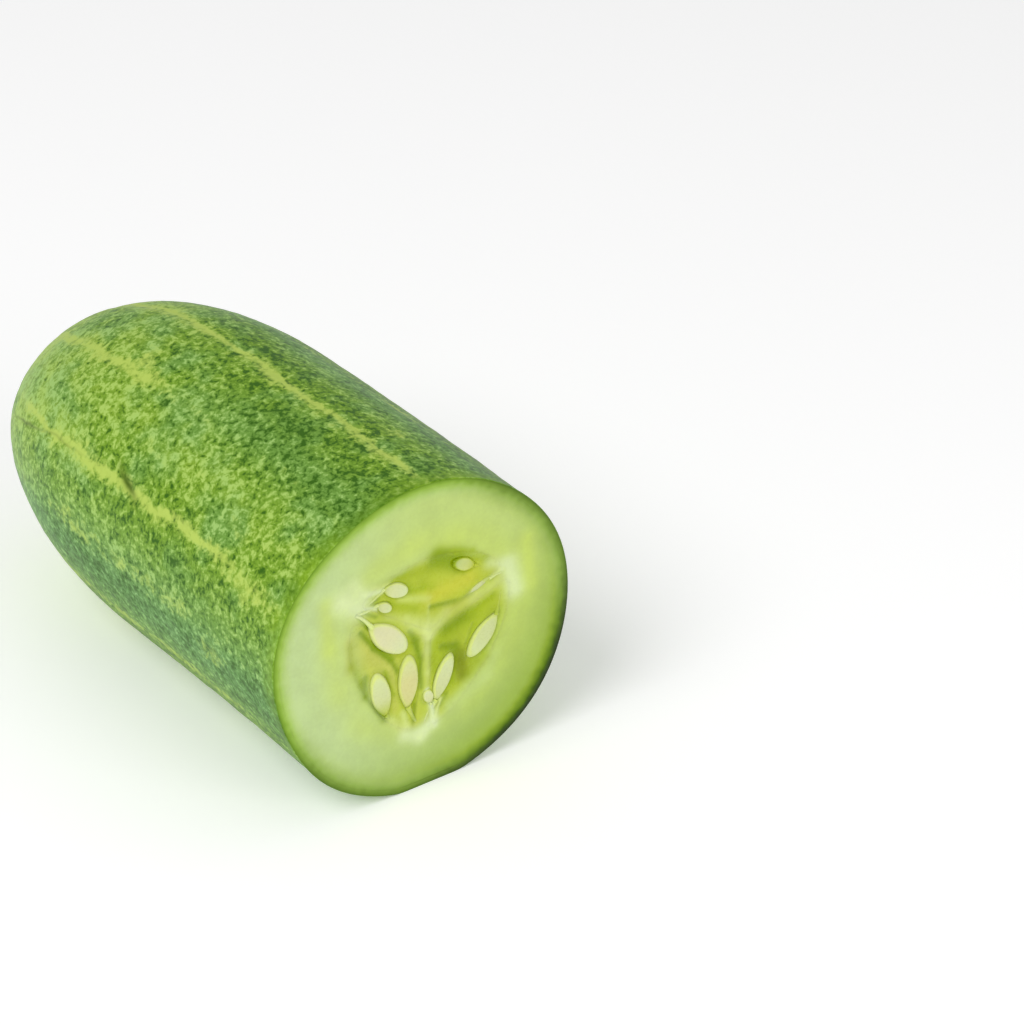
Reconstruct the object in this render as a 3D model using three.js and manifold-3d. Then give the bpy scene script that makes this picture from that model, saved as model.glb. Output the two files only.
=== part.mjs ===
// A cut length of cucumber, lying on its side, in millimetres.
// +X points out of the cut face, +Z is up, and the origin is on the surface it rests on,
// under the middle of its bounding box.
// The fruit has a thin green skin and pale flesh. The cut shows a Y of pale walls between three
// chambers of gel, and seeds that hang by short stalks from a placenta at each tip of the Y.

import * as THREE from "three";
import { mergeVertices } from "three/addons/utils/BufferGeometryUtils.js";
import Module from "manifold-3d";

const wasm = await Module();
wasm.setup();

// Fruit, whose axis starts at the middle of the cut face and runs back to the blossom end
const LENGTH = 106;
const CUT_RADIUS = 28;
const SHOULDER_RADIUS = 28.4;
const CAP_LENGTH = 50;
const CAP_POWER = 2.3;
const BEND = 3.7;
const SAG = 1.4;
const REST_LEVEL = -27.85;
const SKIN = 1;
const GAP = 0.3;

// Low lobes of its outline: how many go round, how high they are and where one of them stands
const LOBES = [
  { count: 2, height: 0.46, degrees: -44 },
  { count: 4, height: 0.2, degrees: -31 },
  { count: 5, height: 0.22, degrees: 19 },
];

// It is fuller underneath, where it lies: how much, in which direction and over what half angle
const HEEL = { height: 0.95, degrees: 272, half: 22 };

// Blossom scar, a dimple at the tip
const SCAR_RADIUS = 2.6;
const SCAR_DEPTH = 0.9;

// Gel chambers, measured from the middle of the Y on the cut face
const CORE_Y = 1;
const CORE_Z = 0.4;
const CORE_DEPTH = 80;
const CORE_TIP_SCALE = 0.6;
const CHAMBER_RADIUS = 14;
const CORNER_SHARPNESS = 6;
const WALL_AT_MIDDLE = 0.9;
const WALL_AT_CORNER = 3;
const GEL_RECESS = 0.8;
const CHAMBERS = ["gel_top", "gel_left", "gel_right"];

// Placentas, anticlockwise round the Y, each with the seeds that hang from it.
// bearing and distance lead from the placenta to the middle of a seed, and turn is how far
// the seed leans away from pointing straight back at its placenta.
const PLACENTAS = [
  {
    name: "seeds_right",
    degrees: 23,
    reach: 16,
    seeds: [
      { bearing: 248.8, distance: 11.5, turn: -18.8, length: 8.9, width: 4.1 },
      { bearing: 193, distance: 5, turn: 8, length: 4.4, width: 1.2 },
      { bearing: 152.7, distance: 8.7, turn: 2.3, length: 4.7, width: 2.5 },
    ],
  },
  {
    name: "seeds_left",
    degrees: 148,
    reach: 16,
    seeds: [
      { bearing: 312.6, distance: 9, turn: 1.4, length: 10.2, width: 4.5 },
      { bearing: 12.5, distance: 7.8, turn: -38.5, length: 5.4, width: 2.8 },
      { bearing: 352.5, distance: 5.5, turn: -29.5, length: 3.5, width: 2 },
    ],
  },
  {
    name: "seeds_bottom",
    degrees: 264,
    reach: 17.5,
    seeds: [
      { bearing: 129, distance: 11.6, turn: -28, length: 9.4, width: 3.8 },
      { bearing: 102.4, distance: 9.8, turn: -14.4, length: 10.4, width: 3.9 },
      { bearing: 59.9, distance: 9.1, turn: 8.1, length: 8.9, width: 3.5 },
      { bearing: 72.7, distance: 5.6, turn: 37.3, length: 3.2, width: 2 },
    ],
  },
];
const SEED_THICKNESS = 1.9;
const SEED_DEPTH = 1;
const SEED_POINT = 0.45;
const STALK_RADIUS = 0.45;
const PLACENTA_SIZE = [2.4, 3.3, 3.6];
const PLACENTA_OFFSET = 0.7;
const PLACENTA_DEPTH = 0.8;

// Hollows in the gel beside the seeds: place on the cut face, then radii across, up and in
const HOLLOWS = [
  { y: 4.6, z: 12.4, size: [2.4, 1.5, 3] },
  { y: -11.8, z: 2.2, size: [1.4, 3, 2.4] },
  { y: 7.1, z: -7, size: [1, 2.4, 2.4] },
];

// Fineness
const AROUND = 48;
const RINGS_ON_WALL = 7;
const RINGS_ON_CAP = 15;
const CORE_STEPS = 6;
const ARC_STEPS = 12;
const SEED_SIDES = 12;
const SEED_RINGS = 8;
const STALK_SIDES = 6;

const radians = THREE.MathUtils.degToRad;
const lerp = THREE.MathUtils.lerp;

// The axis drifts sideways and down towards the blossom end
function axisAt(s) {
  const along = s / LENGTH;
  return { y: -BEND * along * along, z: -SAG * along * along };
}

// Radius of the fruit at s behind the cut, drawn in by inset all over
function radiusAt(s, inset) {
  const capStart = LENGTH - CAP_LENGTH;
  const wall = lerp(CUT_RADIUS, SHOULDER_RADIUS, Math.min(1, s / capStart)) - inset;
  const intoCap = Math.max(0, s - capStart) / (CAP_LENGTH - inset);
  return wall * Math.sqrt(Math.max(0, 1 - Math.pow(intoCap, CAP_POWER)));
}

// Carries a point of the straight, round fruit onto the lobed, bent one
function fruitPoint(s, radius, angle, inset) {
  let swell = 1;
  for (const { count, height, degrees } of LOBES) {
    swell += (height / CUT_RADIUS) * Math.cos(count * (angle - radians(degrees)));
  }
  const apart = 2 - 2 * Math.cos(angle - radians(HEEL.degrees));
  swell += (HEEL.height / CUT_RADIUS) * Math.exp(-apart / Math.pow(radians(HEEL.half), 2));
  const axis = axisAt(s);
  const y = axis.y + radius * swell * Math.cos(angle);
  const z = axis.z + radius * swell * Math.sin(angle);
  return [-s, y, Math.max(z, REST_LEVEL + inset)];
}

// One side of the fruit's wall, from the scar at the tip to the cut face
function wallProfile(inset) {
  const capStart = LENGTH - CAP_LENGTH;
  const capReach = CAP_LENGTH - inset;
  const points = [];
  for (let i = 0; i <= RINGS_ON_CAP; i++) {
    const s = capStart + capReach * Math.cos((i / RINGS_ON_CAP) * (Math.PI / 2));
    const radius = i === 0 ? 0 : radiusAt(s, inset);
    const dip = SCAR_DEPTH * Math.max(0, 1 - Math.pow(radius / SCAR_RADIUS, 2));
    points.push(new THREE.Vector2(radius, dip - s));
  }
  for (let i = RINGS_ON_WALL - 1; i >= 0; i--) {
    const s = (capStart * i) / RINGS_ON_WALL;
    points.push(new THREE.Vector2(radiusAt(s, inset), -s));
  }
  return points;
}

// Moves every vertex of a geometry by a rule, and keeps only the positions
function warp(geometry, rule) {
  const loose = geometry.index ? geometry.toNonIndexed() : geometry;
  const position = loose.getAttribute("position");
  const point = new THREE.Vector3();
  for (let i = 0; i < position.count; i++) {
    point.fromBufferAttribute(position, i);
    position.setXYZ(i, ...rule(point));
  }
  return new THREE.BufferGeometry().setAttribute("position", position);
}

// A closed geometry as a solid that can be joined and cut
function toSolid(geometry) {
  const merged = mergeVertices(geometry, 1e-3);
  return new wasm.Manifold(
    new wasm.Mesh({
      numProp: 3,
      vertProperties: merged.getAttribute("position").array,
      triVerts: new Uint32Array(merged.index.array),
    }),
  );
}

// The largest of a solid's loose pieces, without the scraps that cuts leave between pockets
function withoutScraps(solid) {
  return solid.decompose().sort((a, b) => b.volume() - a.volume())[0];
}

function toMesh(name, solid, material) {
  const { vertProperties, triVerts } = solid.getMesh();
  const geometry = new THREE.BufferGeometry();
  geometry.setAttribute("position", new THREE.BufferAttribute(vertProperties, 3));
  geometry.setIndex(new THREE.BufferAttribute(triVerts, 1));
  geometry.computeVertexNormals();
  const mesh = new THREE.Mesh(geometry, material);
  mesh.name = name;
  return mesh;
}

// Turns a profile round the fruit's axis. insetOf says which side of the skin a point is on.
function turnedSolid(profile, insetOf) {
  const lathe = new THREE.LatheGeometry(profile, AROUND);
  return toSolid(
    warp(lathe, ({ x, y, z }) => {
      const radius = Math.hypot(x, z);
      return fruitPoint(-y, radius, Math.atan2(-z, x), insetOf(radius, -y));
    }),
  );
}

function makeSkin() {
  const profile = [...wallProfile(0), ...wallProfile(SKIN).reverse()];
  return turnedSolid(profile, (radius, s) => (radius < radiusAt(s, SKIN / 2) ? SKIN : 0));
}

function makeFleshBody() {
  const inset = SKIN + GAP;
  const profile = [...wallProfile(inset), new THREE.Vector2(0, 0)];
  return turnedSolid(profile, () => inset);
}

// How far the chambers reach from the middle of the Y, further towards each placenta
function coreRadius(angle) {
  let radius = CHAMBER_RADIUS;
  for (const { degrees, reach } of PLACENTAS) {
    const towards = Math.max(0, Math.cos(angle - radians(degrees)));
    radius += (reach - CHAMBER_RADIUS) * Math.pow(towards, CORNER_SHARPNESS);
  }
  return radius;
}

// Outline of the chamber between one placenta and the next, drawn in by inset all over
function chamberShape(index, inset) {
  const start = PLACENTAS[index];
  const end = PLACENTAS[(index + 1) % PLACENTAS.length];
  const sweep = (end.degrees - start.degrees + 360) % 360;
  const middle = radians(start.degrees + sweep / 2);
  const apex = (WALL_AT_MIDDLE / 2 + inset) / Math.sin(radians(sweep / 2));
  const side = WALL_AT_CORNER / 2 + inset;
  const from = radians(start.degrees) + side / (start.reach - inset);
  const to = radians(start.degrees + sweep) - side / (end.reach - inset);
  const shape = new THREE.Shape();
  shape.moveTo(apex * Math.cos(middle), apex * Math.sin(middle));
  for (let i = 0; i <= ARC_STEPS; i++) {
    const angle = lerp(from, to, i / ARC_STEPS);
    const radius = coreRadius(angle) - inset;
    shape.lineTo(radius * Math.cos(angle), radius * Math.sin(angle));
  }
  return shape;
}

// A chamber's space from front to back behind the cut face. It narrows as it goes in.
function chamberSolid(index, inset, front, back) {
  const depth = back - front;
  const extrusion = new THREE.ExtrudeGeometry(chamberShape(index, inset), {
    depth,
    steps: CORE_STEPS,
    bevelEnabled: false,
  });
  return toSolid(
    warp(extrusion, ({ x, y, z }) => {
      const s = back - z;
      const axis = axisAt(s);
      const scale = lerp(1, CORE_TIP_SCALE, Math.pow(Math.max(0, s / CORE_DEPTH), 3));
      return [-s, CORE_Y + x * scale + axis.y, CORE_Z + y * scale + axis.z];
    }),
  );
}

// An egg round a point of the cut face, turned by an angle on that face. Its radii go along
// that angle, across it and in, and it draws to a point where point is over 0.
function eggSolid({ y, z, depth, angle, radii, point }) {
  const sphere = new THREE.SphereGeometry(1, SEED_SIDES, SEED_RINGS).rotateZ(-Math.PI / 2);
  const cos = Math.cos(angle);
  const sin = Math.sin(angle);
  return toSolid(
    warp(sphere, (p) => {
      const narrow = 1 - point * Math.pow(Math.max(0, p.x), 2);
      const along = radii[0] * p.x;
      const across = radii[1] * p.y * narrow;
      const out = radii[2] * p.z * narrow;
      return [out - depth, y + along * cos - across * sin, z + along * sin + across * cos];
    }),
  );
}

// A straight stalk between two points of the cut face
function stalkSolid(from, to, radius) {
  const length = from.distanceTo(to);
  const angle = Math.atan2(to.y - from.y, to.x - from.x);
  const rod = new THREE.CylinderGeometry(radius, radius, length, STALK_SIDES);
  rod.rotateZ(-Math.PI / 2).translate(length / 2, 0, 0).rotateZ(angle);
  return toSolid(warp(rod, (p) => [p.z - SEED_DEPTH, from.x + p.x, from.y + p.y]));
}

// A placenta with its seeds on their stalks, swollen by clear all over
function seedGroupSolid({ degrees, reach, seeds }, clear) {
  const outward = radians(degrees);
  const root = new THREE.Vector2(reach, 0).rotateAround(new THREE.Vector2(), outward);
  root.add(new THREE.Vector2(CORE_Y, CORE_Z));
  let group = eggSolid({
    y: root.x + PLACENTA_OFFSET * Math.cos(outward),
    z: root.y + PLACENTA_OFFSET * Math.sin(outward),
    depth: PLACENTA_DEPTH,
    angle: outward,
    radii: PLACENTA_SIZE.map((radius) => radius + clear),
    point: 0,
  });
  for (const { bearing, distance, turn, length, width } of seeds) {
    const away = radians(bearing);
    const middle = new THREE.Vector2(Math.cos(away), Math.sin(away)).multiplyScalar(distance);
    middle.add(root);
    const angle = away + Math.PI + radians(turn);
    const thickness = Math.min(SEED_THICKNESS, 0.8 * width);
    const seed = eggSolid({
      y: middle.x,
      z: middle.y,
      depth: SEED_DEPTH,
      angle,
      radii: [length / 2 + clear, width / 2 + clear, thickness / 2 + clear],
      point: SEED_POINT,
    });
    const tip = new THREE.Vector2(Math.cos(angle), Math.sin(angle));
    tip.multiplyScalar(0.4 * length).add(middle);
    group = group.add(seed).add(stalkSolid(tip, root, STALK_RADIUS + clear));
  }
  return group;
}

// Everything in front of the cut face
function knifeSolid() {
  const side = 4 * CUT_RADIUS;
  return toSolid(warp(new THREE.BoxGeometry(side, side, side), (p) => [p.x + side / 2, p.y, p.z]));
}

function material(color, roughness) {
  return new THREE.MeshStandardMaterial({ color, roughness, metalness: 0 });
}

const skinGreen = material(0x4f8a34, 0.42);
const fleshGreen = material(0xc3d98b, 0.35);
const gelGreen = material(0xa9bd45, 0.2);
const seedCream = material(0xe6e7b4, 0.3);

const knife = knifeSolid();
const cucumber = new THREE.Group();
cucumber.add(toMesh("skin", makeSkin(), skinGreen));

// Room for the seeds in the flesh and gel is open towards the knife
const room = PLACENTAS.map((placenta) => {
  const space = seedGroupSolid(placenta, GAP);
  return space.add(space.translate([GEL_RECESS, 0, 0]));
});

let flesh = makeFleshBody();
CHAMBERS.forEach((name, index) => {
  flesh = flesh.subtract(chamberSolid(index, 0, -1, CORE_DEPTH));
  let gel = chamberSolid(index, GAP, GEL_RECESS, CORE_DEPTH - GAP);
  for (const { y, z, size } of HOLLOWS) {
    gel = gel.subtract(
      eggSolid({ y, z, depth: GEL_RECESS, angle: 0, radii: size, point: 0 }),
    );
  }
  for (const space of room) gel = gel.subtract(space);
  cucumber.add(toMesh(name, withoutScraps(gel), gelGreen));
});
for (const space of room) flesh = flesh.subtract(space);
cucumber.add(toMesh("flesh", withoutScraps(flesh), fleshGreen));

for (const placenta of PLACENTAS) {
  const group = seedGroupSolid(placenta, 0).subtract(knife);
  cucumber.add(toMesh(placenta.name, group, seedCream));
}

// Stand the fruit on the origin
const box = new THREE.Box3().setFromObject(cucumber);
const middle = box.getCenter(new THREE.Vector3());
cucumber.position.set(-middle.x, -middle.y, -box.min.z);

export default cucumber;
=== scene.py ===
"""A cut length of cucumber. The forms are made in millimetres with the same formulas as the CAD
solids, only finer, and are turned into metres as each mesh is made."""

import math

import bpy
import numpy as np
from mathutils import Matrix, Vector, noise


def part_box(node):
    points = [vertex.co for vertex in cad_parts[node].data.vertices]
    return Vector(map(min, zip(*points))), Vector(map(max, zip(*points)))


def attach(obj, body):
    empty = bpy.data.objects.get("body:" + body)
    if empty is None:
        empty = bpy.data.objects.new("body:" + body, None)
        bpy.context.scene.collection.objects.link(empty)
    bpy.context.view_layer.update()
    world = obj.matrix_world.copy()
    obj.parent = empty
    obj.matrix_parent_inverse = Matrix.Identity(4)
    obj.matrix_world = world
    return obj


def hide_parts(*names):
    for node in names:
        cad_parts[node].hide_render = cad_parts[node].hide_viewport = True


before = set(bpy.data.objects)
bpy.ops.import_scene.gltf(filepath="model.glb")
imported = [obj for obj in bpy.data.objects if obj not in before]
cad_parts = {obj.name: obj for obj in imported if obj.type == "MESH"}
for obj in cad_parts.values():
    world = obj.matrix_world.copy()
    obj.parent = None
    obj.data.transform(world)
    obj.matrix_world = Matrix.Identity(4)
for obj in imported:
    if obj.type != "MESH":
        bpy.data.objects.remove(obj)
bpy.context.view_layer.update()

MM = 0.001
TURN = 2.0 * math.pi

# Fruit, as in the solids, in millimetres
LENGTH = 106.0
CUT_RADIUS = 28.0
SHOULDER_RADIUS = 28.4
CAP_LENGTH = 50.0
CAP_POWER = 2.3
BEND = 3.7
SAG = 1.4
REST_LEVEL = -27.85
SKIN = 1.0
LOBES = [(2, 0.46, -44.0), (4, 0.2, -31.0), (5, 0.22, 19.0)]
HEEL_HEIGHT = 0.95
HEEL_DEGREES = 272.0
HEEL_HALF = 22.0
SCAR_RADIUS = 2.6
SCAR_DEPTH = 0.9

# Core, as in the solids
CORE_Y = 1.0
CORE_Z = 0.4
CORE_DEPTH = 80.0
CORE_TIP_SCALE = 0.6
CHAMBER_RADIUS = 14.0
CORNER_SHARPNESS = 6
WALL_AT_MIDDLE = 0.9
WALL_AT_CORNER = 3.0

# Placentas: name, bearing from the middle of the core and reach
PLACENTAS = [
    ("seeds_right", 23.0, 16.0),
    ("seeds_left", 148.0, 16.0),
    ("seeds_bottom", 264.0, 17.5),
]
CHAMBERS = ["gel_top", "gel_left", "gel_right"]

# Seeds by placenta: bearing and distance from it, lean, length and width, how much gel veils
# the seed, how much more of it does at the pointed end, how far its colour goes from green
# over cream to beige, and how much of its stalk is hidden
SEEDS = {
    "seeds_right": [
        (248.8, 11.5, -18.8, 8.9, 4.1, 0.08, 0.1, 0.2, 0.9),
        (193.0, 5.0, 8.0, 4.4, 1.2, 0.2, 0.1, 0.6, 0.3),
        (152.7, 8.7, 2.3, 4.7, 2.5, 0.5, 0.4, 0.5, 1.0),
    ],
    "seeds_left": [
        (312.6, 9.0, 1.4, 10.2, 4.5, 0.0, 0.0, 1.0, 0.0),
        (12.5, 7.8, -38.5, 5.4, 2.8, 0.0, 0.3, 0.4, 0.4),
        (352.5, 5.5, -29.5, 3.5, 2.0, 0.1, 0.2, 0.5, 0.2),
    ],
    "seeds_bottom": [
        (129.0, 11.6, -28.0, 9.4, 3.8, 0.05, 0.8, 0.4, 1.0),
        (102.4, 9.8, -14.4, 10.4, 3.9, 0.12, 0.1, 1.5, 0.7),
        (59.9, 9.1, 8.1, 8.9, 3.5, 0.02, 0.2, 0.4, 0.6),
        (72.7, 5.6, 37.3, 3.2, 2.0, 0.0, 0.3, 0.6, 0.4),
    ],
}
SEED_THICKNESS = 1.5
SEED_DEPTH = 1.0
SEED_POINT = 0.45

# Relief of the cut face. The gel stands a little higher than in the solids, as the photo shows.
EDGE_DIP = 0.15
GEL_RECESS = 0.45
POCKET_DEPTH = 0.36
STREAK_RISE = 0.18
HOLLOW_SINK = 0.22
FACE_SINK = 0.05
GEL_RIPPLE = 0.04
FLESH_RIPPLE = 0.03


def smooth(low, high, value):
    """0 below low, 1 above high and an S curve between them."""
    t = np.clip((value - low) / (high - low), 0.0, 1.0)
    return t * t * (3.0 - 2.0 * t)


def polar(degrees, distance):
    angle = math.radians(degrees)
    return np.array([distance * math.cos(angle), distance * math.sin(angle)])


# Form of the fruit


def swell(angle):
    """How far the lobes and the fuller underside push the outline out at an angle."""
    total = 1.0
    for count, height, degrees in LOBES:
        total = total + height / CUT_RADIUS * np.cos(count * (angle - math.radians(degrees)))
    apart = 2.0 - 2.0 * np.cos(angle - math.radians(HEEL_DEGREES))
    return total + HEEL_HEIGHT / CUT_RADIUS * np.exp(-apart / math.radians(HEEL_HALF) ** 2)


def radius_at(s, inset):
    """Radius of the fruit at s behind the cut, drawn in by inset."""
    cap_start = LENGTH - CAP_LENGTH
    wall = CUT_RADIUS + (SHOULDER_RADIUS - CUT_RADIUS) * np.minimum(1.0, s / cap_start) - inset
    into_cap = np.clip((s - cap_start) / (CAP_LENGTH - inset), 0.0, 1.0)
    return wall * np.sqrt(1.0 - into_cap**CAP_POWER)


def local_points(s, radius, angle):
    """Points of the bent fruit, about the axis at the cut, before it is laid down."""
    along = s / LENGTH
    y = -BEND * along**2 + radius * swell(angle) * np.cos(angle)
    z = -SAG * along**2 + radius * swell(angle) * np.sin(angle)
    return -s + 0.0 * y, y, z


def axis_shift():
    """How far the middle of the object's box lies from the axis at the cut."""
    s = np.linspace(0.0, LENGTH, 300)[:, None]
    angle = np.linspace(0.0, TURN, 721)[None, :]
    across = local_points(s, radius_at(s, 0.0), angle)[1]
    return -0.5 * (across.min() + across.max())


CUT_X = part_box("skin")[1].x / MM
AXIS_Y = axis_shift()
AXIS_Z = -REST_LEVEL
REST_SOFTNESS = 0.12


def laid(x, y, z, floor):
    """Moves points into the object's frame, flattened softly where the fruit lies on them."""
    low = REST_LEVEL + floor
    over = np.clip((z - low) / REST_SOFTNESS, -40.0, 40.0)
    z = low + REST_SOFTNESS * np.log1p(np.exp(over)) * (over < 40.0) + (z - low) * (over >= 40.0)
    return np.stack([x + CUT_X, y + AXIS_Y, z + AXIS_Z], axis=-1)


# Form of the cut face, in y and z about the axis


def core_radius(angle):
    """How far the chambers reach from the middle of the core."""
    radius = CHAMBER_RADIUS
    for _, degrees, reach in PLACENTAS:
        towards = np.clip(np.cos(angle - math.radians(degrees)), 0.0, 1.0)
        radius = radius + (reach - CHAMBER_RADIUS) * towards**CORNER_SHARPNESS
    return radius


def core_depth(y, z):
    """How far a point is inside the outline round all chambers and the walls between them."""
    angle = np.arctan2(z - CORE_Z, y - CORE_Y)
    return core_radius(angle) - np.hypot(y - CORE_Y, z - CORE_Z)


def chamber_depth(y, z):
    """How far a point is inside a chamber. It is negative in the flesh and the walls."""
    dy = y - CORE_Y
    dz = z - CORE_Z
    out = np.hypot(dy, dz)
    depth = core_depth(y, z)
    for _, degrees, reach in PLACENTAS:
        cos = math.cos(math.radians(degrees))
        sin = math.sin(math.radians(degrees))
        forward = dy * cos + dz * sin
        sideways = np.abs(dz * cos - dy * sin)
        share = np.clip(forward / reach, 0.0, 1.0)
        half_wall = 0.5 * (WALL_AT_MIDDLE + (WALL_AT_CORNER - WALL_AT_MIDDLE) * share)
        beside = np.where(forward > 0.0, sideways, out) - half_wall
        depth = np.minimum(depth, beside)
    return depth


def placed_seeds():
    """Every seed with its group, root, middle, pointing angle and the rest of its numbers."""
    seeds = []
    for name, degrees, reach in PLACENTAS:
        root = polar(degrees, reach) + (CORE_Y, CORE_Z)
        for bearing, distance, lean, *rest in SEEDS[name]:
            middle = root + polar(bearing, distance)
            angle = math.radians(bearing + 180.0 + lean)
            seeds.append((name, root, middle, angle, *rest))
    return seeds


ALL_SEEDS = placed_seeds()


def seed_distance(y, z):
    """Distance to the nearest seed's outline, negative over a seed."""
    nearest = np.full(np.shape(y), 99.0)
    for _, _, middle, angle, length, width, *_ in ALL_SEEDS:
        along = (y - middle[0]) * math.cos(angle) + (z - middle[1]) * math.sin(angle)
        across = (z - middle[1]) * math.cos(angle) - (y - middle[0]) * math.sin(angle)
        share = np.clip(2.0 * along / length, 0.0, 1.0)
        half = 0.5 * width * (1.0 - SEED_POINT * share**2)
        level = np.hypot(2.0 * along / length, across / half)
        nearest = np.minimum(nearest, (level - 1.0) * 0.5 * width)
    return nearest


# Colours, given as in a picture editor


def srgb(red, green, blue):
    def linear(value):
        value = value / 255.0
        return value / 12.92 if value <= 0.04045 else ((value + 0.055) / 1.055) ** 2.4

    return np.array([linear(red), linear(green), linear(blue)])


FLESH_PALE = srgb(190, 211, 146)
FLESH_WARM = srgb(188, 208, 122)
# Colour of the painted shade to the lower right of the cut face
FLESH_SHADE = srgb(152, 178, 62)
FLESH_YELLOW = srgb(198, 216, 100)
WHITE = srgb(218, 233, 172)
STREAK = srgb(212, 226, 138)
BEIGE = srgb(196, 200, 98)
OCHRE = srgb(200, 203, 60)
GEL_OLIVE = srgb(182, 197, 56)
MOSS = srgb(156, 178, 16)
OLIVE = srgb(132, 158, 0)
BARK = srgb(126, 140, 0)
SEED_CREAM = srgb(219, 219, 170)
SEED_BEIGE = srgb(216, 205, 128)
SEED_GREEN = srgb(205, 217, 154)
SEED_WHITE = srgb(216, 230, 172)
# The seeds' own pale rim, also used for a painted highlight on it
SEED_PALE_RIM_AND_HIGHLIGHT = srgb(222, 233, 138)
SEED_SHADE = srgb(190, 198, 92)
SEED_COLOURS = [(0.0, SEED_GREEN), (1.0, SEED_CREAM), (2.0, SEED_BEIGE)]

# Strokes on the cut face, each over those before it: colour, from y, z to y, z, half width,
# strength. Washes tint the gel, hollows sink into it and streaks stand out of it.
WASHES = [
    (BEIGE, -10.8, 2.0, -7.6, -3.0, 2.8, 0.75),
    (BEIGE, -6.6, -5.0, -5.8, -11.0, 1.0, 0.5),
    (MOSS, 3.0, -2.0, 5.4, -9.0, 3.0, 0.7),
    (MOSS, 5.0, 0.0, 12.0, 0.0, 3.0, 0.6),
    (OCHRE, 1.8, 7.3, 8.4, 8.0, 1.9, 0.85),
    (MOSS, -6.5, 13.0, 1.0, 12.8, 1.8, 0.5),
    (OCHRE, -2.2, -12.0, -2.2, -15.0, 0.9, 0.4),
    (GEL_OLIVE, 7.5, -8.0, 9.0, -6.0, 1.6, 0.6),
]
# Hollows are darker: partly the gel's own deeper olive, partly painted shade in the hollows and beside
# the seeds
SHADED_HOLLOWS = [
    (OLIVE, 2.2, 14.4, 5.4, 13.4, 1.3, 1.0),
    (OLIVE, 2.8, 13.8, 5.6, 12.2, 1.5, 0.9),
    (MOSS, 5.6, 14.0, 8.8, 13.0, 0.9, 0.9),
    (MOSS, 9.2, 12.2, 12.2, 10.2, 0.7, 0.7),
    (MOSS, -8.6, 14.0, -3.6, 13.4, 0.7, 0.6),
    (MOSS, -0.4, 10.4, 1.6, 8.9, 0.8, 0.5),
    (MOSS, -4.6, 10.0, 0.0, 9.3, 0.6, 0.6),
    (OLIVE, -10.6, 9.4, -8.4, 10.6, 0.4, 0.6),
    (OLIVE, -11.6, 9.2, -9.0, 7.4, 0.4, 0.8),
    (OLIVE, -12.8, 9.6, -10.4, 5.6, 0.45, 0.9),
    (MOSS, -6.4, 8.6, -1.6, 6.0, 0.9, 0.6),
    (OLIVE, 1.3, 5.3, 5.8, 4.7, 0.55, 0.8),
    (OLIVE, 5.8, 4.7, 9.2, 4.8, 0.45, 0.6),
    (OLIVE, -11.8, 5.4, -9.4, 1.8, 0.6, 1.0),
    (OLIVE, -9.4, 1.8, -6.4, -1.6, 0.7, 1.0),
    (OLIVE, -6.4, -1.6, -5.2, -4.2, 0.5, 0.8),
    (OLIVE, -2.7, 2.4, -1.7, 0.0, 0.7, 0.9),
    (OLIVE, -1.7, 0.0, -0.9, -3.4, 0.7, 1.0),
    (OLIVE, -0.9, -3.4, -0.8, -9.0, 0.45, 0.9),
    (OLIVE, -14.0, 4.0, -13.8, 0.4, 0.8, 0.6),
    (OLIVE, -13.8, 0.4, -12.2, -5.0, 0.8, 0.6),
    (OLIVE, -11.2, -3.2, -11.6, -6.2, 0.6, 0.9),
    (OLIVE, -11.6, -6.2, -8.0, -12.4, 0.5, 1.0),
    (MOSS, -7.6, -3.4, -6.0, -8.4, 0.4, 0.6),
    (OLIVE, -2.1, -11.8, -2.4, -14.8, 0.5, 0.8),
    (MOSS, 0.8, -1.2, 1.8, -6.4, 0.9, 0.6),
    (OLIVE, 3.4, -2.9, 5.8, -3.8, 0.7, 0.9),
    (OLIVE, 5.8, -3.8, 6.6, -7.4, 1.1, 0.75),
    (BARK, 6.4, -6.8, 7.2, -9.8, 1.2, 0.75),
    (OLIVE, 4.2, 0.1, 8.8, 1.4, 1.3, 0.9),
    (MOSS, 8.8, 1.4, 13.2, 3.0, 0.9, 0.8),
    (MOSS, 9.4, -1.0, 8.0, -4.0, 0.5, 0.6),
    (MOSS, 8.6, -6.6, 12.6, -5.6, 0.6, 0.6),
    (OLIVE, 2.6, -14.0, 4.0, -12.2, 0.5, 0.6),
]
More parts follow.
